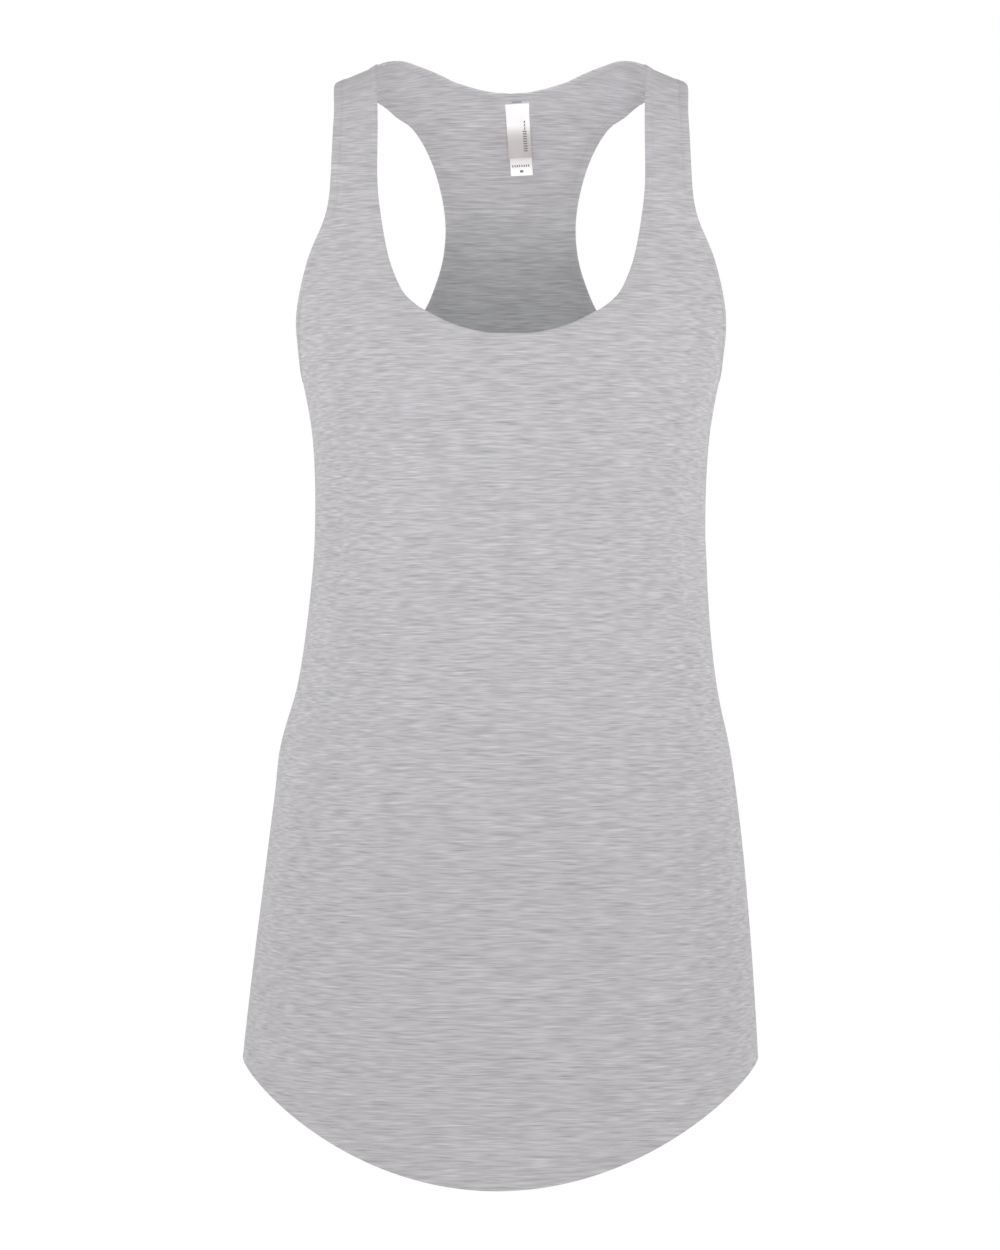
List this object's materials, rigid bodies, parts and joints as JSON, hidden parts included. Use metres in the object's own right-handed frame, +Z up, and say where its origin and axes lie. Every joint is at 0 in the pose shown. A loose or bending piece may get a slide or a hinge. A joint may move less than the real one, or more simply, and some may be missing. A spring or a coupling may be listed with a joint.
{
  "type": "racerback tank top",
  "caption": "Women's sleeveless racerback tank top in light heather grey jersey, long and flared with a shirt-tail hem, filled out as worn.",
  "frame": {"origin": "midway between the shoulders, at the height where the undersides of the straps rest on them", "axes": "+Z up, the front faces -Y, +X to the wearer's left"},
  "size_m": [0.3248, 0.2361, 0.6988],
  "materials": {
    "jersey": "matte knit",
    "binding": "matte knit",
    "label_satin": "satin",
    "label_tape": "satin"
  },
  "bodies": {
    "root": {"front_panel": "jersey", "back_panel": "jersey", "neck_binding": "binding", "armhole_binding_left": "binding", "armhole_binding_right": "binding", "main_label": "label_satin", "size_label": "label_tape"}
  },
  "joints": []
}
